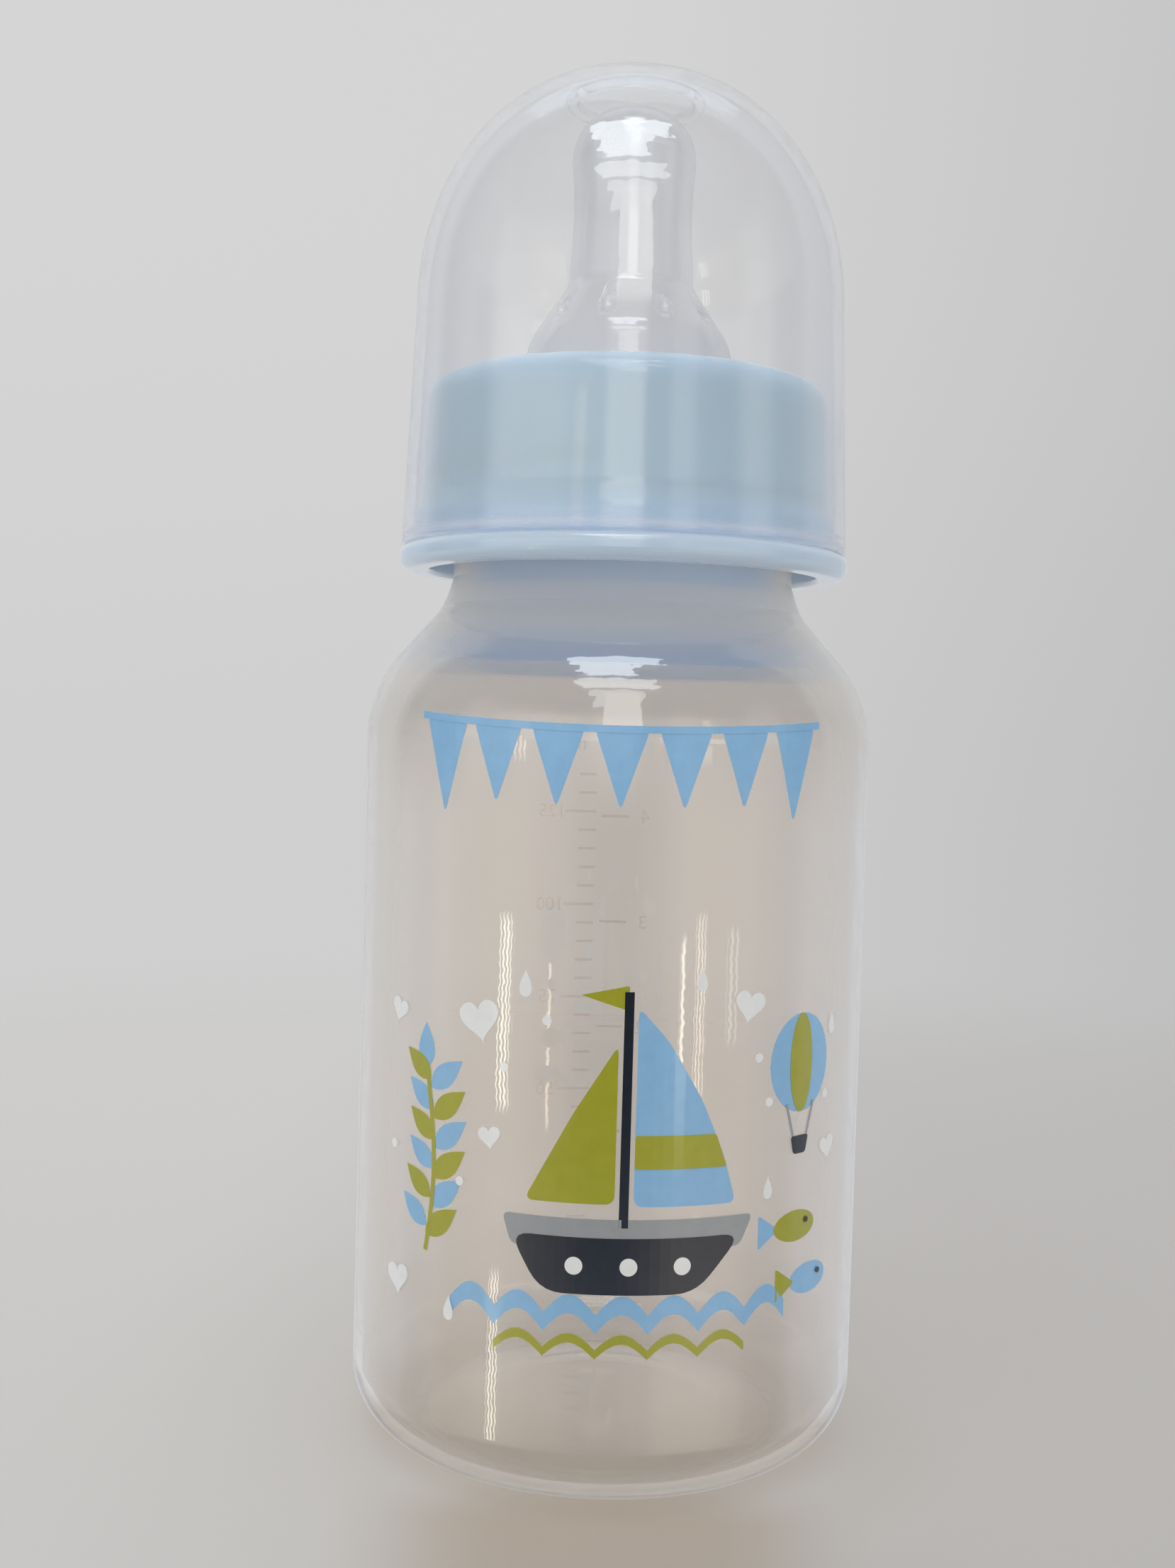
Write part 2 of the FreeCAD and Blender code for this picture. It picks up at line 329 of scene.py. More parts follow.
bottleLook = {
    # the warm tint is the plastic's own colour, made deeper as painted shade for a shadow lying behind the
    # bottle
    "tint": (0.932, 0.896, 0.858, 1), "ior": 1.22, "shine": 1.6, "shineRough": 0.0,
    "rippleScale": 120.0, "rippleStretch": (1, 1, 0.25), "rippleDepth": 0.000005,
    "smearScale": 60.0, "rough": (0.0, 0.006),
    "haze": (0.02, 0.65), "hazeFall": 1.4, "milk": (0.92, 0.915, 0.91, 1),
    "smears": (0.06, -0.03),
    # by height in mm: haze, its colour, how far the wall keeps its clearness, share of the edge haze
    "levels": [
        # painted shade: dark haze and a dimmer wall at the foot
        (0, 0.35, (0.51, 0.49, 0.47), 0.87, 0.1), (1, 0.3, (0.62, 0.6, 0.575), 0.9, 0.1),
        (2.6, 0.15, (0.66, 0.64, 0.61), 0.95, 0.1), (5.5, 0, (0.75, 0.73, 0.71), 1, 0.2),
        (14, 0, (0.9, 0.895, 0.89), 1, 1), (74.8, 0, (0.92, 0.915, 0.91), 1, 1),
        # painted shade: a dimmer band under the shoulder
        (77.2, 0, (0.85, 0.86, 0.88), 0.9, 1), (79.5, 0, (0.85, 0.86, 0.88), 0.91, 1),
        # matt haze round the top of the shoulder, its blue colour a painted blue shade of the ring
        (81.6, 0.04, (0.66, 0.74, 0.86), 0.92, 1), (82, 0.34, (0.4, 0.54, 0.79), 0.88, 1),
        (83.8, 0.32, (0.45, 0.58, 0.81), 0.9, 1), (84.5, 0.44, (0.55, 0.63, 0.77), 0.9, 1),
        (85.4, 0.44, (0.62, 0.69, 0.81), 0.93, 1), (86.6, 0.4, (0.7, 0.765, 0.88), 0.96, 1),
        (88.2, 0.42, (0.83, 0.89, 1), 1, 1),
    ],
    "drop": 2.2, "middle": (0.52, 0.38),
    "shadowMiddle": (0.995, 0.985, 0.97, 1), "shadowEdge": (0.91, 0.88, 0.84, 1),
}
# the neck is matt; the blue in its haze and tint, strongest where it stands inside the ring, is a painted
# blue shade of the ring
neckLook = dict(bottleLook)
neckLook["tint"] = (0.925, 0.94, 0.965, 1)
neckLook["levels"] = [
    (0, 0.52, (0.78, 0.85, 0.95), 0.98, 1), (89.7, 0.52, (0.78, 0.84, 0.94), 0.98, 1),
    (90.3, 0.6, (0.65, 0.79, 0.98), 0.94, 1), (110, 0.35, (0.58, 0.7, 0.86), 1, 1),
]
neckLook["drop"] = 0.0
neckLook["middle"] = (0.9, 0.6)
neckLook["rough"] = (0.25, 0.35)
neckLook["shine"] = 1.2
neckLook["shineRough"] = 0.3
hoodLook = {
    "tint": (0.99, 0.99, 0.992, 1), "ior": 1.16, "shine": 1.5, "shineRough": 0.0,
    "rippleScale": 90.0, "rippleStretch": (1, 1, 0.5), "rippleDepth": 0.000003,
    "smearScale": 50.0, "rough": (0.0, 0.01),
    "haze": (0.015, 0.36), "hazeFall": 1.3, "milk": (0.91, 0.915, 0.93, 1),
    "smears": (0.06, -0.03),
    # a white matt band at the rim's edge: a painted highlight along the rim
    "levels": [
        (0, 0, (0.91, 0.915, 0.93), 1, 1), (94.7, 0.05, (0.9, 0.92, 0.95), 1, 1),
        (95, 0.5, (1, 1, 1), 1, 1), (95.4, 0.35, (1, 1, 1), 1, 1),
        (96, 0.04, (0.9, 0.905, 0.92), 1, 1), (146, 0, (0.91, 0.915, 0.93), 1, 1),
    ],
    "drop": 0.0, "middle": (1.2, 1.0),
    "shadowMiddle": (0.98, 0.98, 0.98, 1), "shadowEdge": (0.85, 0.85, 0.86, 1),
}
teatLook = {
    "tint": (0.97, 0.97, 0.975, 1), "ior": 1.15, "shine": 1.6, "shineRough": 0.015,
    "rippleScale": 150.0, "rippleStretch": (1, 1, 1), "rippleDepth": 0.000015,
    "smearScale": 120.0, "rough": (0.08, 0.14),
    "haze": (0.3, 0.8), "hazeFall": 1.6, "milk": (0.95, 0.95, 0.965, 1),
    "smears": (0.06, -0.03),
    "shadowMiddle": (0.93, 0.93, 0.93, 1), "shadowEdge": (0.8, 0.8, 0.8, 1),
}
clearBottle = makeClear("clearBottlePlastic", bottleLook)
frostedNeck = makeClear("frostedNeckPlastic", neckLook)
clearHood = makeClear("clearHoodPlastic", hoodLook)
softTeat = makeClear("softSilicone", teatLook)


ringLook = {
    "light": linear("C4DBFF"), "deep": linear("BBD6FE"), "flange": linear("C9D7E6"),
    "paleBelow": 94.0, "deepAbove": 95.4, "clouds": 55.0, "cloudStretch": (1, 1, 0.4),
    "rough": (0.05, 0.11), "glow": 0.003, "glowSpread": (0.8, 1.0, 1.3),
    "grain": 900.0, "grainDepth": 0.000004,
}


def makeRingPlastic():
    look = ringLook
    material, tree = newMaterial("blueRingPlastic")
    shader = tree.nodes["Principled BSDF"]
    clouds = addNoise(tree, look["clouds"], look["cloudStretch"])
    tone = addMix(tree, clouds, look["light"], look["deep"])
    # paler at the flange: painted lighter for the light that falls on it outside the hood
    up = addSlide(tree, placeOn(tree)[3], look["paleBelow"] * mm, look["deepAbove"] * mm, way="LINEAR")
    plug(tree, shader.inputs["Base Color"], addMix(tree, up, look["flange"], tone))
    plug(tree, shader.inputs["Roughness"], spread(tree, clouds, *look["rough"]))
    shader.inputs["IOR"].default_value = 1.49
    shader.inputs["Subsurface Weight"].default_value = 1.0
    shader.inputs["Subsurface Radius"].default_value = look["glowSpread"]
    shader.inputs["Subsurface Scale"].default_value = look["glow"]
    addBump(tree, shader, addNoise(tree, look["grain"]), look["grainDepth"], 1.0)
    return material


inkLook = {"speckle": 700.0, "thinner": 1.12, "thinRange": (-0.3, 1.0), "rough": 0.14, "depth": 0.000006}


def makeInk(name, code):
    # screen-printed ink: even colour, a little thin in places
    look = inkLook
    material, tree = newMaterial(name)
    shader = tree.nodes["Principled BSDF"]
    colour = linear(code)
    thin = [min(1.0, c * look["thinner"] + 0.01) for c in colour[:3]] + [1.0]
    speckle = addNoise(tree, look["speckle"], detail=4.0)
    tone = addMix(tree, spread(tree, speckle, *look["thinRange"]), colour, thin)
    plug(tree, shader.inputs["Base Color"], tone)
    shader.inputs["Roughness"].default_value = look["rough"]
    addBump(tree, shader, speckle, look["depth"], 0.5)
    return material


bluePlastic = makeRingPlastic()
inks = {
    "sky": makeInk("skyInk", "8FC1E8"),
    "lime": makeInk("limeInk", "A9A92F"),
    "navy": makeInk("navyInk", "18222F"),
    "grey": makeInk("greyInk", "A0A3A6"),
    "white": makeInk("whiteInk", "F4F6F5"),
}
print("materials ready")


bottle = {
    "wall": 1.0,
    "heel": 7.1,              # rounding at the base
    "standWidth": 1.2,        # flat ring that it stands on
    "standEdge": 0.8,
    "pushUpWidth": 8.0,       # slope up to the raised middle of the base
    "pushUp": 1.5,
    "pushUpEdge": 22.0,
    "floor": 1.3,
    "shoulderRounding": 12.8,
    "shoulderAngle": 41.5,    # degrees from upright
    "neckRadius": 18.2,
    "neckWall": 1.5,
    "flare": 1.0,
    "flareHeight": 3.1,
    "neckHeight": 18.0,
    "rootEdge": 6.0,
    "neckBlend": 4.0,
    "neckFootEdge": 0.8,
    "mouthEdge": 0.5,
    "frostFrom": 85.4,        # z where the matt neck starts inside
}


def makeBottle():
    b = bottle
    bodyRadius = bottleHigh.x / mm
    mouthZ = bottleHigh.z / mm
    slope = tan(radians(b["shoulderAngle"]))
    neckFootZ = mouthZ - b["neckHeight"]
    rootRadius = b["neckRadius"] + b["flare"]
    rootZ = neckFootZ - b["flareHeight"]
    shoulderZ = rootZ - (bodyRadius - rootRadius) / slope
    standOuter = bodyRadius - b["heel"]
    standInner = standOuter - b["standWidth"]
    pushRadius = standInner - b["pushUpWidth"]
    bore = bodyRadius - b["wall"]
    neckBore = b["neckRadius"] - b["neckWall"]
    innerRounding = b["shoulderRounding"] - b["wall"]
    half = tan(radians(b["shoulderAngle"] / 2))
    innerShoulderZ = shoulderZ - b["wall"] * half
    innerRootZ = innerShoulderZ + (bore - neckBore) / slope
    return turnOutline("bottleShell", [
        (0, b["pushUp"], 0),
        (pushRadius, b["pushUp"], b["pushUpEdge"]),
        (standInner, 0, b["standEdge"]),
        (bodyRadius, 0, b["heel"]),
        (bodyRadius, shoulderZ, b["shoulderRounding"]),
        (rootRadius, rootZ, b["rootEdge"]),
        (b["neckRadius"], neckFootZ, b["neckFootEdge"]),
        (b["neckRadius"], mouthZ, b["mouthEdge"]),
        (neckBore, mouthZ, b["mouthEdge"]),
        (neckBore, innerRootZ, b["neckBlend"]),
        (bore, innerShoulderZ, innerRounding),
        (bore, b["floor"], b["heel"] - b["wall"]),
        (standInner, b["floor"], b["standEdge"]),
        (pushRadius, b["pushUp"] + b["floor"], b["pushUpEdge"]),
        (0, b["pushUp"] + b["floor"], 0),
    ])


bottleShell = finishPiece(makeBottle(), "bottle", clearBottle, frostedNeck)
neckRootZ = bottleHigh.z / mm - bottle["neckHeight"] - bottle["flareHeight"]
for face in bottleShell.data.polygons:
    outward = face.normal.dot(Vector((face.center.x, face.center.y, 0)))
    start = bottle["frostFrom"] if outward < 0 else neckRootZ
    if face.center.z > start * mm:
        face.material_index = 1
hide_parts("bottle_body")
print("bottle shell spun")


# screw threads: a ridge round the neck and one inside the ring
thread = {
    "lead": 4.0,              # rise of one turn
    "turns": 1.5,
    "ridgeFoot": 2.2,         # height of the ridge where it leaves the wall
    "ridgeTop": 0.7,
    "sink": 0.2,              # how deep its foot stands in the wall
    "neckDepth": 1.35,
    "neckStart": 98.2,        # z of the ridge's middle at its lower end
    "ringDepth": 1.25,
    "runOut": 28.0,           # degrees over which each end sinks into the wall
    "steps": 216,
}


def makeThread(name, wallAt, depth, startZ, startAngle):
    # a small trapezoid carried round by a screw modifier, with ends that fade into the wall
    t = thread
    sign = 1 if depth > 0 else -1
    wall = wallAt(startZ)
    sink = t["sink"] * sign
    piece = drawOutline(name, [
        (wall - sink, startZ - t["ridgeFoot"] / 2, 0),
        (wall + depth, startZ - t["ridgeTop"] / 2, 0),
        (wall + depth, startZ + t["ridgeTop"] / 2, 0),
        (wall - sink, startZ + t["ridgeFoot"] / 2, 0),
    ])
    mesh = bmesh.from_edit_mesh(piece.data)
    ends = [v for v in mesh.verts if len(v.link_edges) == 1]
    for v in mesh.verts:
        v.select_set(v in ends)
    mesh.select_flush(False)
    bmesh.update_edit_mesh(piece.data)
    bpy.ops.mesh.edge_face_add()
    putDown()
    profile = len(piece.data.vertices)
    screw = piece.modifiers.new("turns", "SCREW")
    screw.angle = 2 * pi * t["turns"]
    screw.screw_offset = t["lead"] * t["turns"] * mm
    screw.steps = screw.render_steps = t["steps"]
    screw.use_merge_vertices = False
    applyAll(piece)
    total = len(piece.data.vertices) // profile
    fade = t["runOut"] / (360 * t["turns"]) * (total - 1)
    for v in piece.data.vertices:
        step = v.index // profile
        share = min(1.0, step / fade, (total - 1 - step) / fade)
        flat = Vector((v.co.x, v.co.y, 0))
        base = (wallAt(v.co.z / mm) - sink) * mm
        radius = base + (flat.length - (wall - sink) * mm) * share
        v.co.x, v.co.y = flat.x * radius / flat.length, flat.y * radius / flat.length
    pickUp(piece)
    bpy.ops.object.mode_set(mode="EDIT")
    bpy.ops.mesh.select_mode(type="EDGE")
    bpy.ops.mesh.select_all(action="DESELECT")
    bpy.ops.mesh.select_non_manifold()
    bpy.ops.mesh.fill_holes(sides=8)
    bpy.ops.mesh.select_all(action="SELECT")
    bpy.ops.transform.rotate(value=-radians(startAngle), orient_axis="Z", center_override=(0, 0, 0))
    bpy.ops.mesh.normals_make_consistent(inside=False)
    bpy.ops.mesh.flip_normals()           # a long coil comes out of the line above inside out
    putDown()
    smoothPiece(piece, 25)
    return piece


ring = {
    "wall": 1.1,
    "topThickness": 1.7,
    "topEdge": 2.6,
    "innerEdge": 1.2,
    "draft": 0.65,
    "threadSpace": 1.95,
    "flangeThickness": 2.6,
    "flangeLowerEdge": 1.1,
    "flangeUpperEdge": 0.9,
    "seatWidth": 0.7,
    "seatHeight": 2.8,
    "seatSlope": 2.2,
    "seatEdge": 3.0,
    "seatFootEdge": 0.12,
    "holeRadius": 11.2,
    "holeUpperEdge": 0.25,
    "holeLowerEdge": 0.2,
    "leadIn": 0.5,
}
hood = {
    "wall": 1.1,
    "draft": 1.01,
    "sideHeight": 24.8,
    "clearance": 0.15,        # round the ring's seat
    "fullness": 2.15,         # 2 is an ellipse, more is fuller
    "facet": 3,               # degrees between the dome's rings
    "rimEdge": 0.3,
    "crownRadius": 7.45,      # ring under the crown that closes on the teat
    "crownWall": 1.2,
    "crownEdge": 0.55,
    "crownFoot": 3.5,
    "crownInnerFoot": 0.3,
    "crownSpace": 0.4,        # left free of the dome's rings on both sides
    "tipClearance": 0.3,
}


def ringBoreAt(z):
    r = ring
    top, low = ringHigh.z / mm, ringLow.z / mm + r["flangeThickness"]
    return bottle["neckRadius"] + r["threadSpace"] + r["draft"] * (top - z) / (top - low)


def makeRing():
    r = ring
    topZ, footZ = ringHigh.z / mm, ringLow.z / mm
    underZ, rimZ = topZ - r["topThickness"], footZ + r["flangeThickness"]
    seatTopZ = rimZ + r["seatHeight"]
    skirt = ringBoreAt(rimZ) + r["wall"]
    seatFoot = skirt + r["seatWidth"]
    seatTop = seatFoot - hood["draft"] * r["seatHeight"] / hood["sideHeight"]
    aboveSeatZ = seatTopZ + r["seatSlope"]
    return turnOutline("screwRing", [
        (r["holeRadius"], topZ, r["holeUpperEdge"]),
        (ringBoreAt(topZ) + r["wall"], topZ, r["topEdge"]),
        (ringBoreAt(aboveSeatZ) + r["wall"], aboveSeatZ, r["seatEdge"]),
        (seatTop, seatTopZ, r["seatEdge"]),
        (seatFoot, rimZ, r["seatFootEdge"]),
        (ringHigh.x / mm, rimZ, r["flangeUpperEdge"]),
        (ringHigh.x / mm, footZ, r["flangeLowerEdge"]),
        (skirt - r["wall"], footZ, r["leadIn"]),
        (ringBoreAt(topZ), underZ, r["innerEdge"]),
        (r["holeRadius"], underZ, r["holeLowerEdge"]),
    ], closed=True)


screwRing = finishPiece(makeRing(), "ring", bluePlastic)
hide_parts("screw_ring")

neckThread = makeThread("neckThread", lambda z: bottle["neckRadius"], thread["neckDepth"],
                        thread["neckStart"], 90)
finishPiece(neckThread, "bottle", clearBottle)
ringThread = makeThread("ringThread", ringBoreAt, -thread["ringDepth"],
                        thread["neckStart"] - thread["lead"] / 2, 90)
finishPiece(ringThread, "ring", bluePlastic)
print("ring and threads done")


teat = {
    "holeClearance": 0.15,
    "flangeInset": 0.6,
    "flange": 1.4,
    "flangeEdge": 0.4,
    "boreEdge": 0.3,
    "grooveEdge": 0.1,        # corners of the groove that grips the ring
    "lipWidth": 0.7,
    "lipHeight": 0.7,
    "lipEdge": 0.25,
    "lipOverhang": 0.45,
    "wall": 1.6,
    "side": [                 # radius, height over the ring, rounding
        (10.75, 4.4, 5.0),    # bell
        (6.75, 10.35, 2.2),   # foot of the stem
        (6.22, 18.7, 40.0),   # waist
        (7.1, 29.4, 5.5),     # tip
    ],
    "feedHole": 0.4,
    "ventHole": 0.5,          # in the flange, over the open mouth
    "dimples": 10,
    "dimpleBall": 1.5,
    "dimpleDepth": 0.5,
    "dimpleHeight": 7.7,
    "dimpleTurn": 3.0,
}


def makeTeat():
    t = teat
    ringTopZ = ringHigh.z / mm
    mouthZ = bottleHigh.z / mm
    tipZ = teatHigh.z / mm
    lip = ring["holeRadius"] + t["lipWidth"]
    neck = ring["holeRadius"] - t["holeClearance"]
    flange = bottle["neckRadius"] - t["flangeInset"]
    side = [(lip - t["lipOverhang"], ringTopZ + t["lipHeight"], 0)]
    side += [(radius, ringTopZ + height, rounding) for radius, height, rounding in t["side"]]
    side += [(t["feedHole"], tipZ, 0)]
    return turnOutline("teat", insideOf(side, t["wall"])[::-1] + [
        (neck - t["wall"], mouthZ, t["boreEdge"]),
        (flange, mouthZ, t["flangeEdge"]),
        (flange, mouthZ + t["flange"], t["flangeEdge"]),
        (neck, mouthZ + t["flange"], t["grooveEdge"]),
        (neck, ringTopZ, t["grooveEdge"]),
        (lip, ringTopZ, t["lipEdge"]),
        (lip, ringTopZ + t["lipHeight"], t["lipEdge"]),
    ] + side, around=160, closed=True)


def sideRadius(height):
    spots = [(ring["holeRadius"] + teat["lipWidth"] - teat["lipOverhang"], teat["lipHeight"])]
    spots += [(radius, level) for radius, level, _ in teat["side"]]
    for (ra, za), (rb, zb) in zip(spots, spots[1:]):
        if za <= height <= zb:
            return ra + (rb - ra) * (height - za) / (zb - za)


def cutDimples(piece):
    # shallow dents round the foot of the stem, and the vent through the flange
    t = teat
    z = ringHigh.z + t["dimpleHeight"] * mm
    away = (sideRadius(t["dimpleHeight"]) + t["dimpleBall"] - t["dimpleDepth"]) * mm
    tools = []
    for i in range(t["dimples"]):
        turn = radians(-90 + t["dimpleTurn"] + (i + 0.5) * 360 / t["dimples"])
        putDown()
        bpy.ops.mesh.primitive_uv_sphere_add(segments=28, ring_count=18, radius=t["dimpleBall"] * mm,
                                             location=(away * cos(turn), away * sin(turn), z))
        tools.append(bpy.context.object)
    ventRadius = (ring["holeRadius"] - t["holeClearance"] + bottle["neckRadius"] - bottle["neckWall"]) / 2
    bpy.ops.mesh.primitive_cylinder_add(vertices=20, radius=t["ventHole"] * mm, depth=4 * t["wall"] * mm,
                                        location=(ventRadius * mm, 0, bottleHigh.z))
    tools.append(bpy.context.object)
    putDown()
    for tool in tools:
        tool.select_set(True)
    bpy.context.view_layer.objects.active = tools[0]
    bpy.ops.object.join()
    cutter = bpy.context.object
    pickUp(piece)
    cut = piece.modifiers.new("dents", "BOOLEAN")
    cut.operation = "DIFFERENCE"
    cut.solver = "EXACT"
    cut.object = cutter
    applyAll(piece)
    bpy.data.objects.remove(cutter)
    pickUp(piece)
    bpy.ops.object.mode_set(mode="EDIT")
    bpy.ops.mesh.select_all(action="SELECT")
    bpy.ops.mesh.dissolve_degenerate(threshold=1e-6)
    putDown()
    smoothPiece(piece, 28)


teatPiece = makeTeat()
cutDimples(teatPiece)
finishPiece(teatPiece, "teat", softTeat)
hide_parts("silicone_teat")
print("teat done")


def makeHood():
    h = hood
    rimZ, topZ = hoodLow.z / mm, hoodHigh.z / mm
    rimRadius = ringBoreAt(rimZ) + ring["wall"] + ring["seatWidth"] + h["clearance"] + h["wall"]
    sideRadiusTop = rimRadius - h["draft"]
    domeFootZ = rimZ + h["sideHeight"]
    domeHeight = topZ - domeFootZ
    ringBore = h["crownRadius"] - h["crownWall"]
    ringFootZ = teatHigh.z / mm + h["tipClearance"]

    def dome(shrink, turn):
        across = cos(radians(turn)) ** (2 / h["fullness"])
        rise = sin(radians(turn)) ** (2 / h["fullness"])
        return ((sideRadiusTop - shrink) * across, domeFootZ + (domeHeight - shrink) * rise, 0)

    def domeZ(shrink, radius):
        share = (radius / (sideRadiusTop - shrink)) ** h["fullness"]
        return domeFootZ + (domeHeight - shrink) * (1 - share) ** (1 / h["fullness"])

    turns = range(0, 90, h["facet"])
    outside = [dome(0, turn) for turn in turns] + [(0, topZ, 0)]
    inner = [dome(h["wall"], turn) for turn in turns]
    beyond = [p for p in inner if p[0] > h["crownRadius"] + h["crownSpace"]]
    within = [p for p in inner if p[0] < ringBore - h["crownSpace"]]
    crown = [
        (h["crownRadius"], domeZ(h["wall"], h["crownRadius"]), h["crownFoot"]),
        (h["crownRadius"], ringFootZ, h["crownEdge"]),
        (ringBore, ringFootZ, h["crownEdge"]),
        (ringBore, domeZ(h["wall"], ringBore), h["crownInnerFoot"]),
    ]
    inside = beyond + crown + within + [(0, topZ - h["wall"], 0)]
    rim = [
        (rimRadius - h["wall"], rimZ, h["rimEdge"]),
        (rimRadius, rimZ, h["rimEdge"]),
    ]
    return turnOutline("domedHood", inside[::-1] + rim + outside)


domedHood = finishPiece(makeHood(), "hood", clearHood)
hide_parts("clear_hood")
print("hood done")


# print on the front, in millimetres round the wall from the middle and in height
def flatShape(points):
    # a filled outline in the XZ plane, drawn from a circle whose vertices are moved to their places
    putDown()
    bpy.ops.mesh.primitive_circle_add(vertices=len(points), radius=1, fill_type="NGON")
    piece = bpy.context.object
    for vertex, (along, up) in zip(piece.data.vertices, points):
        vertex.co = Vector((along * mm, 0, up * mm))
    return piece


def roundPoints(points, rounding, steps=5):
    # the same closed outline with its corners rounded
    made = []
    for i, here in enumerate(points):
        before, after = Vector(points[i - 1]), Vector(points[(i + 1) % len(points)])
        here = Vector(here)
        back, ahead = before - here, after - here
        reach = min(rounding, back.length * 0.45, ahead.length * 0.45)
        start, end = here + back.normalized() * reach, here + ahead.normalized() * reach
        for step in range(steps + 1):
            share = step / steps
            made.append(tuple(start.lerp(here, share).lerp(here.lerp(end, share), share)))
    return made


def moved(points, along, up, size=1.0, turn=0.0):
    c, s = cos(radians(turn)), sin(radians(turn))
    return [(along + size * (x * c - z * s), up + size * (x * s + z * c)) for x, z in points]


def turnsOf(steps):
    return [2 * pi * i / steps for i in range(steps)]


def oval(width, height, steps=28):
    return [(width / 2 * cos(t), height / 2 * sin(t)) for t in turnsOf(steps)]


def leaf(length, width, steps=14):
    up = [(i / steps * length, width / 2 * sin(pi * (i / steps) ** 0.8)) for i in range(steps + 1)]
    down = [(x, -z) for x, z in up[1:-1]]
    return up + down[::-1]


def heart(size, steps=32):
    return [(16 * sin(t) ** 3 * size / 32,
             (13 * cos(t) - 5 * cos(2 * t) - 2 * cos(3 * t) - cos(4 * t)) * size / 32)
            for t in turnsOf(steps)]


def drop(size, steps=24):
    return [(size * 0.34 * sin(t) * sin(t / 2) ** 1.5, size * 0.5 * cos(t)) for t in turnsOf(steps)]


def scallops(width, height, count, thick, steps=8):
    # a row of waves: round crests above, the same line lower down below
    top = [(-width / 2 + i / steps * width / count, height * sin(pi * (i % steps / steps)))
           for i in range(count * steps)] + [(width / 2, 0)]
    return top + [(x, z - thick) for x, z in top[::-1]]


def band(line, thick):
    # a strip of even width along a line of points
    left, right = [], []
    for i, spot in enumerate(line):
        a, b = Vector(line[max(i - 1, 0)]), Vector(line[min(i + 1, len(line) - 1)])
        way = (b - a).normalized()
        across = Vector((-way.y, way.x)) * thick / 2
        left.append(tuple(Vector(spot) + across))
        right.append(tuple(Vector(spot) - across))
    return left + right[::-1]


def sliceUpright(piece, step):
    # cuts a flat shape into narrow upright strips, so that it can follow the wall
    pickUp(piece)
    xs = [v.co.x for v in piece.data.vertices]
    bpy.ops.object.mode_set(mode="EDIT")
    bpy.ops.mesh.select_mode(type="FACE")
    for i in range(floor(min(xs) / step) + 1, ceil(max(xs) / step)):
        bpy.ops.mesh.select_all(action="SELECT")
        bpy.ops.mesh.bisect(plane_co=(i * step, 0, 0), plane_no=(1, 0, 0))
    putDown()


def wrapOnWall(piece, radius, middle=-90.0, way=1.0):
    # carries a flat shape onto an upright round wall, its own depth kept
    for vertex in piece.data.vertices:
        turn = radians(middle) + way * vertex.co.x / radius
        away = radius - vertex.co.y
        vertex.co = Vector((away * cos(turn), away * sin(turn), vertex.co.z))


def joined(pieces, name):
    putDown()
    for piece in pieces:
        piece.select_set(True)
    bpy.context.view_layer.objects.active = pieces[0]
    bpy.ops.object.join()
    piece = bpy.context.object
    piece.name = piece.data.name = name
    putDown()
    return piece


printed = {
    "thickness": 0.04,
    "strip": 1.0,
    "layers": {"sky": 0.03, "lime": 0.07, "grey": 0.11, "navy": 0.15, "white": 0.19},
}

flagTop, sag = 75.6, 0.0018
flags = [(-18.2, 9.2), (-12.2, 7.6), (-6.1, 7.6), (0.0, 7.6), (6.1, 7.6), (12.2, 7.6), (18.2, 9.2)]
spots = [-21.5 + 43 * i / 24 for i in range(25)]
sway = [(along, flagTop + sag * along ** 2) for along in spots]
shapes = {colour: [] for colour in printed["layers"]}


def put(colour, points):
    shapes[colour].append(points)


put("sky", band(sway, 0.7))
for along, tall in flags:
    up = flagTop + sag * along ** 2
    put("sky", roundPoints([(along - 2.6, up), (along, up - tall), (along + 2.6, up)], 0.7))

# sailing boat
put("navy", roundPoints([(-9.6, 27.6), (-6.4, 22.2), (8.6, 22.2), (13.4, 27.6)], 2.2))
put("grey", roundPoints([(-10.4, 29.4), (-9.4, 26.4), (13.2, 26.4), (14.6, 29.4)], 0.8))
put("navy", band([(1.4, 28.6), (1.4, 51.0)], 0.9))
sail = [(2.3, 30.6), (2.3, 49.6), (5.4, 46.2), (8.8, 40.6), (11.2, 35.2), (12.6, 30.6)]
put("sky", roundPoints(sail, 1.0))
put("lime", roundPoints([(2.3, 34.2), (2.3, 37.4), (10.3, 37.4), (11.5, 34.2)], 0.3))
put("lime", roundPoints([(0.5, 30.8), (0.5, 46.0), (-3.6, 39.4), (-8.2, 30.8)], 1.0))
put("lime", roundPoints([(1.4, 51.6), (1.4, 49.2), (-3.2, 50.6)], 0.3))
for along in (-3.2, 2.0, 7.2):
    put("white", moved(oval(1.7, 1.7), along, 24.9))

# waves
put("sky", moved(scallops(35.0, 1.9, 7, 1.8), 1.5, 20.2))
put("lime", moved(scallops(25.0, 1.5, 5, 0.9), 1.5, 16.9))

# sprig on the left
put("lime", band([(-19.4 + 0.9 * sin(i / 3.5), 24.0 + i * 1.5) for i in range(13)], 0.5))
for i in range(6):
    spot, up = -19.4 + 0.9 * sin(i * 2 / 3.5), 25.6 + i * 2.9
    put("sky" if i % 2 else "lime", moved(leaf(5.0, 2.3), spot, up, 1.0, 38))
    put("lime" if i % 2 else "sky", moved(leaf(4.4, 2.1), spot, up + 0.8, 1.0, 142))
put("sky", moved(leaf(4.6, 2.2), -19.8, 41.8, 1.0, 92))

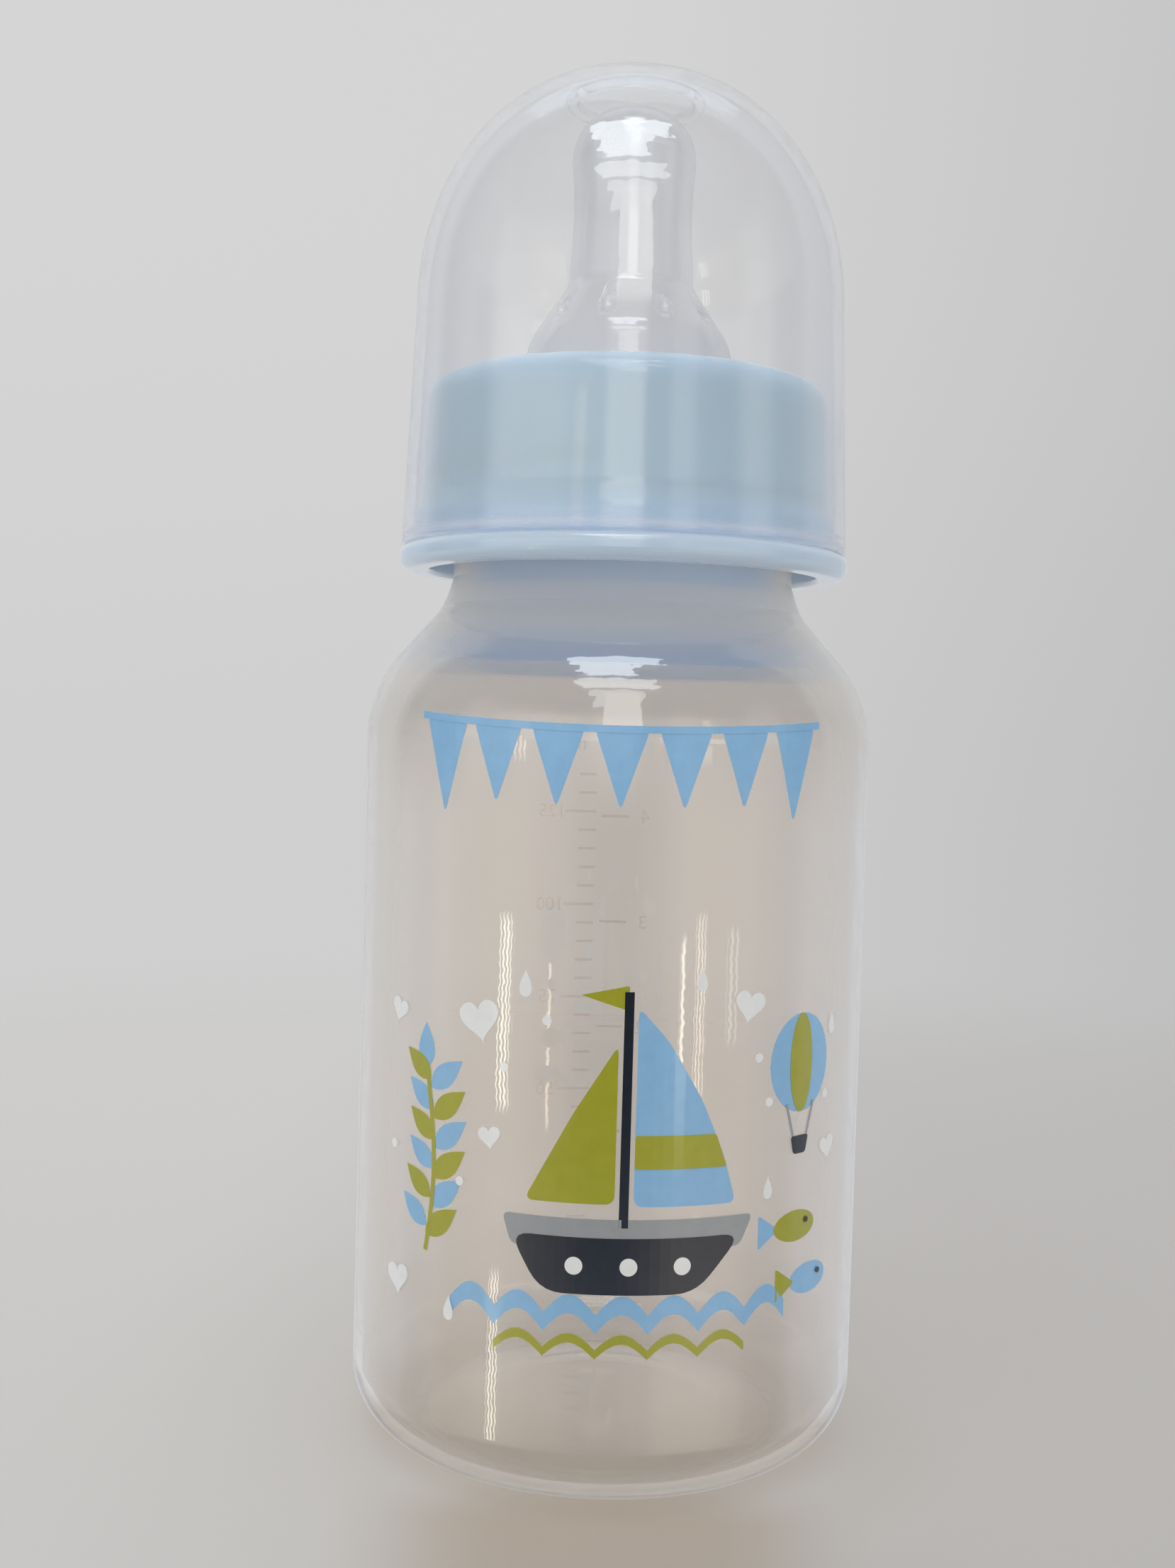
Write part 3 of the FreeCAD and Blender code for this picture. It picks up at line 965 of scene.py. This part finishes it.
# balloon and fish on the right
balloon = moved(oval(8.6, 9.8), 20.6, 43.4)
put("sky", balloon)
put("lime", [(20.6 + (x - 20.6) * 0.38, z) for x, z in balloon])
put("navy", roundPoints([(19.3, 36.2), (21.9, 36.2), (21.5, 34.4), (19.7, 34.4)], 0.4))
for above, below in ((18.6, 19.6), (22.6, 21.6)):
    put("grey", band([(above, 39.4), (below, 36.2)], 0.3))
for along, up, colour, fin in ((20.4, 27.2, "lime", "sky"), (22.8, 21.6, "sky", "lime")):
    put(colour, moved(oval(6.0, 3.1), along, up))
    tail = [(along - 2.4, up), (along - 5.0, up + 1.7), (along - 5.0, up - 1.7)]
    put(fin, roundPoints(tail, 0.3))
    put("navy", moved(oval(0.6, 0.6, 12), along + 1.6, up + 0.4))

# hearts, drops and dots
for along, up, size, turn in ((-13.4, 47.6, 4.4, 12), (13.6, 49.6, 3.4, -10), (-24.2, 47.2, 2.6, -14),
                              (-12.0, 36.4, 2.4, 8), (25.4, 34.4, 2.6, 10), (-23.6, 20.4, 3.4, 6)):
    put("white", moved(heart(size), along, up, 1.0, turn))
for along, up, size in ((-8.6, 51.4, 2.6), (8.4, 52.2, 2.2), (-16.2, 19.0, 2.4),
                        (16.4, 31.6, 2.2), (25.6, 46.8, 2.2)):
    put("white", moved(drop(size), along, up))
for along, up in ((-6.4, 48.0), (16.2, 40.0), (-15.2, 31.6), (24.6, 39.8),
                  (-24.6, 33.6), (14.8, 44.4), (-10.6, 43.2)):
    put("white", moved(oval(0.9, 0.9, 14), along, up))


def printColour(colour):
    flat = []
    for points in shapes[colour]:
        piece = flatShape(points)
        sliceUpright(piece, printed["strip"] * mm)
        flat.append(piece)
    piece = joined(flat, "print" + colour.capitalize())
    radius = bottleHigh.x + printed["layers"][colour] * mm
    wrapOnWall(piece, radius)
    pickUp(piece)
    bpy.ops.object.mode_set(mode="EDIT")
    bpy.ops.mesh.select_all(action="SELECT")
    bpy.ops.mesh.remove_doubles(threshold=1e-7)
    bpy.ops.object.mode_set(mode="OBJECT")
    middle = piece.data.polygons[0]
    if middle.normal.dot(Vector((middle.center.x, middle.center.y, 0))) < 0:
        piece.data.flip_normals()
    solid = piece.modifiers.new("ink", "SOLIDIFY")
    solid.thickness = printed["thickness"] * mm
    solid.offset = 1.0
    applyAll(piece)
    finishPiece(piece, "bottle", inks[colour])


for colour in shapes:
    printColour(colour)
print("print done")


scale = {
    "height": 0.2,
    "textHeight": 0.1,
    "text": 2.4,
    "lowest": 11.6,           # z of the 10 ml mark
    "step": 2.31,             # 5 ml
    "marks": 26,
    "firstOunce": 13.2,
    "ounce": 13.13,
    "ounces": 4,
    "tick": 0.32,
    "mlMark": (2.0, 2.2),     # start and length of a mark
    "mlLongMark": (2.0, 3.9),
    "mlText": 7.6,
    "ounceMark": (-2.1, 3.4),
    "ounceText": -4.2,
    "textUp": 0.1,
    "units": {"ml": 4.6, "oz": -1.4},
    "unitsUp": 1.6,
}


def raisedMark(start, length, up):
    end, top = start + length, up + scale["tick"]
    piece = flatShape([(start, up), (start, top), (end, top), (end, up)])
    sliceUpright(piece, printed["strip"] * mm)
    solid = piece.modifiers.new("raise", "SOLIDIFY")
    solid.thickness = scale["height"] * mm
    solid.offset = 0
    applyAll(piece)
    return piece


def raisedText(text, along, up):
    putDown()
    bpy.ops.object.text_add(rotation=(pi / 2, 0, 0))
    letters = bpy.context.object
    letters.data.body = text
    letters.data.size = scale["text"] * mm
    letters.data.align_x = "CENTER"
    letters.data.align_y = "CENTER"
    letters.data.extrude = scale["textHeight"] / 2 * mm
    letters.data.resolution_u = 3
    letters.location = (along * mm, 0, up * mm)
    bpy.ops.object.convert(target="MESH")
    bpy.ops.object.transform_apply(location=True, rotation=True, scale=True)
    return bpy.context.object


def makeScale():
    s = scale
    marks = []
    for i in range(s["marks"]):
        up = s["lowest"] + i * s["step"]
        isLong = i % 5 == 3
        marks.append(raisedMark(*s["mlLongMark" if isLong else "mlMark"], up))
        if isLong:
            marks.append(raisedText(str(10 + 5 * i), s["mlText"], up + s["textUp"]))
    for i in range(s["ounces"]):
        up = s["lowest"] + s["firstOunce"] + i * s["ounce"]
        marks.append(raisedMark(*s["ounceMark"], up))
        marks.append(raisedText(str(i + 1), s["ounceText"], up + s["textUp"]))
    top = s["lowest"] + s["marks"] * s["step"] + s["unitsUp"]
    for unit, along in s["units"].items():
        marks.append(raisedText(unit, along, top))
    piece = joined(marks, "raisedScale")
    wrapOnWall(piece, bottleHigh.x + s["textHeight"] / 2 * mm, middle=90.0)
    smoothPiece(piece, 30)
    return piece


raisedScale = finishPiece(makeScale(), "bottle", clearBottle)
print("scale done")


tableLook = {
    "radius": 1.2, "rough": 0.9, "shine": 0.1,
    # painted shade: the table's tone darkens from left to right
    "left": linear("CFCDCB"), "right": linear("C1BEBC"), "across": 60, "fade": (60, 400),
    # painted warm shadow on the table in front, for the light that comes through the tinted bottle
    "warm": (0.81, 0.735, 0.655, 1), "warmAside": (27, 9), "warmAhead": (-16, -27),
}


def makeFloor():
    # a pale table round the bottle that fades into the room's own paleness
    t = tableLook
    putDown()
    bpy.ops.mesh.primitive_circle_add(vertices=96, radius=t["radius"], fill_type="NGON")
    table = bpy.context.object
    table.name = "paleTable"
    material, tree = newMaterial("paleTable")
    shader = tree.nodes["Principled BSDF"]
    shader.inputs["Roughness"].default_value = t["rough"]
    shader.inputs["Specular IOR Level"].default_value = t["shine"]
    place, x, y, _ = placeOn(tree)

    def slide(value, low, high, way="SMOOTHSTEP"):
        return addSlide(tree, value, low * mm, high * mm, way=way)

    # painted shade: the table darker towards the right
    tone = addMix(tree, slide(x, -t["across"], t["across"], "LINEAR"), t["left"], t["right"])
    # painted warm shadow: the table darker and warmer in a strip in front of the bottle
    aside = slide(addMath(tree, "ABSOLUTE", x), *t["warmAside"])
    glow = addMath(tree, "MULTIPLY", aside, slide(y, *t["warmAhead"]))
    plug(tree, shader.inputs["Base Color"], addMix(tree, glow, tone, t["warm"], "MULTIPLY"))
    away = addNode(tree, "VectorMath", (place,), operation="LENGTH")["Value"]
    fade = slide(away, *t["fade"], "SMOOTHERSTEP")
    gone = addMath(tree, "ADD", fade, addNode(tree, "LightPath")["Glossy Depth"], use_clamp=True)
    surface = mixShaders(tree, gone, shader.outputs["BSDF"], addNode(tree, "BsdfTransparent")["BSDF"])
    plug(tree, tree.nodes["Material Output"].inputs["Surface"], surface)
    table.data.materials.append(material)


# the room that gloss shows, by turn from the front and by height, both in degrees
room = {
    "ambient": (0.68, 0.685, 0.69, 1),
    "above": [
        (-180, (0.74, 0.745, 0.755)), (-122, (0.74, 0.745, 0.755)), (-112, (0.14, 0.14, 0.15)),
        (-80, (0.14, 0.14, 0.15)), (-72, (0.85, 0.86, 0.87)), (-36, (0.95, 0.96, 0.97)),
        (-29, (0.75, 0.77, 0.8)), (-14, (0.72, 0.74, 0.78)), (-10, (1.35, 1.3, 1.25)),
        (6, (1.3, 1.25, 1.2)), (10, (0.4, 0.4, 0.42)), (20, (0.35, 0.36, 0.4)),
        (24, (0.75, 0.77, 0.8)), (33, (0.72, 0.74, 0.78)), (37, (0.3, 0.31, 0.34)),
        (57, (0.14, 0.15, 0.18)), (63, (0.6, 0.6, 0.6)), (75, (0.65, 0.64, 0.62)),
        (82, (0.2, 0.2, 0.21)), (100, (0.12, 0.12, 0.13)), (108, (0.65, 0.65, 0.66)),
        (180, (0.72, 0.725, 0.735)),
    ],
    "below": [
        (-180, (0.75, 0.76, 0.78)), (-120, (0.85, 0.86, 0.88)), (-104, (1, 1, 1.04)),
        (-101.5, (0.85, 0.88, 0.92)), (-92, (0.85, 0.85, 0.85)), (-80, (1.2, 1.1, 1)),
        (-62, (1.05, 0.92, 0.72)), (-44, (0.95, 0.85, 0.7)), (-37, (0.8, 0.7, 0.58)),
        (-34, (0.62, 0.5, 0.42)), (-20, (0.35, 0.27, 0.24)), (-12, (0.12, 0.1, 0.1)),
        (-8, (0.05, 0.05, 0.05)), (7, (0.05, 0.04, 0.04)), (9.5, (0.2, 0.15, 0.14)),
        (20, (0.45, 0.36, 0.33)), (23, (0.75, 0.63, 0.55)), (32, (1, 0.85, 0.72)),
        (50, (1, 0.85, 0.74)), (62, (0.95, 0.82, 0.72)), (66, (0.75, 0.67, 0.62)),
        (84, (0.6, 0.57, 0.56)), (90, (0.75, 0.74, 0.78)), (96, (0.95, 0.95, 1.05)),
        (110, (0.85, 0.87, 0.95)), (130, (0.75, 0.78, 0.84)), (180, (0.75, 0.76, 0.78)),
    ],
    "backdrop": [(-0.35, "D5D5D5"), (0, "D4D4D4"), (0.35, "C4C4C4")],
    "backdropLow": (0.945, 0.945, 0.945, 1), "lowFrom": (0.3, -0.1),
    # where its parts begin or fade, in degrees
    "wallsMeet": (-4, 0.5),
    "paleBand": (0, 17, 3), "paleAside": (108, 96),
    "ceilingDark": (0.2, 0.17, 0.15, 1), "ceilingFrom": (22, 36), "ceilingAside": (112, 100),
    "tableBright": (0.75, 0.77, 0.8, 1), "tableFrom": (-12, -22), "tableAside": (78, 45),
    "tableNear": (0.58, 0.55, 0.52, 1), "nearFrom": (-24.5, -33),
    # noise scale and detail, and how much of it: across and ahead on the ceiling, in the glints
    "ragged": (13, 5), "ceilingRagged": (0.34, 0.14), "glintRagged": 2,
    "sway": ((4.6, 0.2), (16, 0.28)),   # how often and how much a glint's sides waver
    "softPane": 0.012, "softSky": 0.06, "softGlint": (0.25, 0.3), "softLine": (-0.1, 0.3),
    "paneFrom": (0.08, 0.16),
    # openings in a ceiling one unit up: left, right, near, far, light
    "ceiling": [
        (-0.3, 0.24, -0.38, -0.2, (6, 6.5, 6.9)), (-0.3, 0.1, -0.64, -0.36, (6, 6.5, 6.9)),
        (-0.36, 0.3, -0.92, -0.7, (4.2, 4.4, 4.6)), (-0.3, 0.24, -1.5, -0.97, (3, 3.1, 3.2)),
        (-0.55, 0.5, 0.26, 0.62, (1.1, 1.2, 1.3)),
    ],
    # small lamps and panes: turn from, turn to, height from, height to, lines, light
    "glints": [
        (-51, -45.5, -12.8, -6.6, 3, (9, 8.5, 7)), (-52, -47.5, -24.5, -18, 3, (9, 8.5, 7)),
        (29, 32, -13.4, -7.2, 1, (9, 8.5, 7)), (-47, -43, -1, 4, 2, (5, 4.6, 3.8)),
        (-8, 10, 17.8, 44, 0, (3.9, 3.9, 3.7)),
        (-48, -41, -1.3, -0.3, 3, (5, 4.6, 3.8)), (-29, -22.5, -1, -0.3, 3, (5, 4.6, 3.8)),
        (24, 41, -1.3, -0.7, 0, (1.9, 1.85, 1.8)), (51, 56, -10.5, -6.8, 2, (3, 2.9, 2.7)),
        (-28, -22, 6.5, 15, 0, (2.4, 2.2, 2)), (36, 60, 1, 6, 0, (2, 2, 1.9)),
    ],
}


def makeWorld():
    world = bpy.data.worlds.new("paleRoom")
    bpy.context.scene.world = world
    world.use_nodes = True
    tree = world.node_tree

    def calc(operation, *values):
        return addMath(tree, operation, *values)

    def step(value, low, high):
        return addSlide(tree, value, low, high)

    def between(value, low, high, soft):
        return calc("MULTIPLY", step(value, low - soft, low + soft), step(value, high + soft, high - soft))

    def both(a, b):
        return calc("MULTIPLY", a, b)

    def blend(factor, a, b, way="MIX"):
        return addMix(tree, factor, a, b, way)

    place, x, y, z = placeOn(tree, "Generated")
    often, detail = room["ragged"]
    noise = addNode(tree, "TexNoise", {"Vector": place, "Scale": often, "Detail": detail})["Fac"]
    ragged = calc("SUBTRACT", noise, 0.5)
    turn = both(calc("ARCTAN2", x, both(y, -1.0)), 180 / pi)
    height = both(calc("ARCSINE", z), 180 / pi)
    aside = calc("ABSOLUTE", turn)

    walls = [addRamp(tree, turn, room[part])["Color"] for part in ("below", "above")]
    gloss = blend(step(height, *room["wallsMeet"]), *walls)
    level = both(between(height, *room["paleBand"]), step(aside, *room["paleAside"]))
    gloss = blend(1.0, gloss, calc("ADD", level, 1.0), "MULTIPLY")
    bright = both(step(height, *room["tableFrom"]), step(aside, *room["tableAside"]))
    gloss = blend(bright, gloss, room["tableBright"], "ADD")
    gloss = blend(step(height, *room["nearFrom"]), gloss, room["tableNear"])
    dark = both(step(height, *room["ceilingFrom"]), step(aside, *room["ceilingAside"]))
    gloss = blend(dark, gloss, room["ceilingDark"])
    up = calc("MAXIMUM", z, 0.05)
    wide, deep = (calc("MULTIPLY_ADD", ragged, much, calc("DIVIDE", part, up))
                  for part, much in zip((x, y), room["ceilingRagged"]))
    above = step(z, *room["paneFrom"])
    for left, right, near, far, light in room["ceiling"]:
        soft = room["softPane" if light[0] > 2 else "softSky"]
        inside = both(between(wide, left, right, soft), between(deep, near, far, soft))
        gloss = blend(both(inside, above), gloss, (*light, 1))
    # the glints' sides waver a little with height
    slow, fast = (both(calc("SINE", both(height, often)), much) for often, much in room["sway"])
    swayed = calc("MULTIPLY_ADD", ragged, room["glintRagged"], calc("ADD", turn, calc("ADD", slow, fast)))
    softTurn, softHeight = room["softGlint"]
    for left, right, low, high, lines, light in room["glints"]:
        inside = both(between(swayed, left, right, softTurn), between(height, low, high, softHeight))
        if lines:
            wave = calc("SINE", both(swayed, 2 * pi * lines / (right - left)))
            inside = both(inside, step(wave, *room["softLine"]))
        gloss = blend(inside, gloss, (*light, 1))

    # painted shade: the backdrop darker towards the right and lower down
    backdrop = addRamp(tree, x, [(spot, linear(code)) for spot, code in room["backdrop"]])["Color"]
    backdrop = blend(step(z, *room["lowFrom"]), backdrop, room["backdropLow"], "MULTIPLY")
    paths = addNode(tree, "LightPath")
    seen = calc("MAXIMUM", paths["Is Camera Ray"], paths["Is Transmission Ray"])
    light = blend(seen, room["ambient"], backdrop)
    light = blend(calc("MINIMUM", paths["Glossy Depth"], 1.0), light, gloss)
    light = blend(paths["Is Diffuse Ray"], light, room["ambient"])
    plug(tree, tree.nodes["Background"].inputs["Color"], light)


# size, place, power and colour
lamps = {
    "skylight": ((0.3, 0.3), (-0.05, -0.16, 0.52), 0.5, (0.97, 0.99, 1)),
    "windowBehind": ((0.3, 0.2), (-0.08, 0.26, 0.42), 0.45, (1, 0.98, 0.95)),
}
lampTarget = (0, 0, 0.09)


def addLamp(name):
    size, spot, power, colour = lamps[name]
    putDown()
    bpy.ops.object.light_add(type="AREA", location=spot)
    lamp = bpy.context.object
    lamp.name = name
    lamp.data.shape = "RECTANGLE"
    lamp.data.size, lamp.data.size_y = size
    lamp.data.energy = power
    lamp.data.color = colour
    lamp.rotation_euler = (Vector(lampTarget) - Vector(spot)).to_track_quat("-Z", "Y").to_euler()
    lamp.visible_glossy = False          # the room above holds what gloss shows of them
    lamp.visible_transmission = False


camera = {
    "spot": (-3.149, -189.925, 76.921),
    "down": 0.040,            # radians
    "roll": 0.0283,
    "lens": 40.12,
}


def makeCamera():
    bpy.ops.object.camera_add()
    eye = bpy.context.object
    eye.name = "mainCamera"
    eye.data.sensor_width = 36
    eye.data.lens = camera["lens"]
    eye.data.clip_start = 0.01
    place = Matrix.Translation(Vector(camera["spot"]) * mm)
    eye.matrix_world = (place @ Matrix.Rotation(pi / 2 - camera["down"], 4, "X")
                        @ Matrix.Rotation(camera["roll"], 4, "Z"))
    bpy.context.scene.camera = eye


makeFloor()
makeWorld()
for lampName in lamps:
    addLamp(lampName)
makeCamera()
bpy.context.scene.view_settings.view_transform = "Standard"
putDown()
print("light and camera ready")
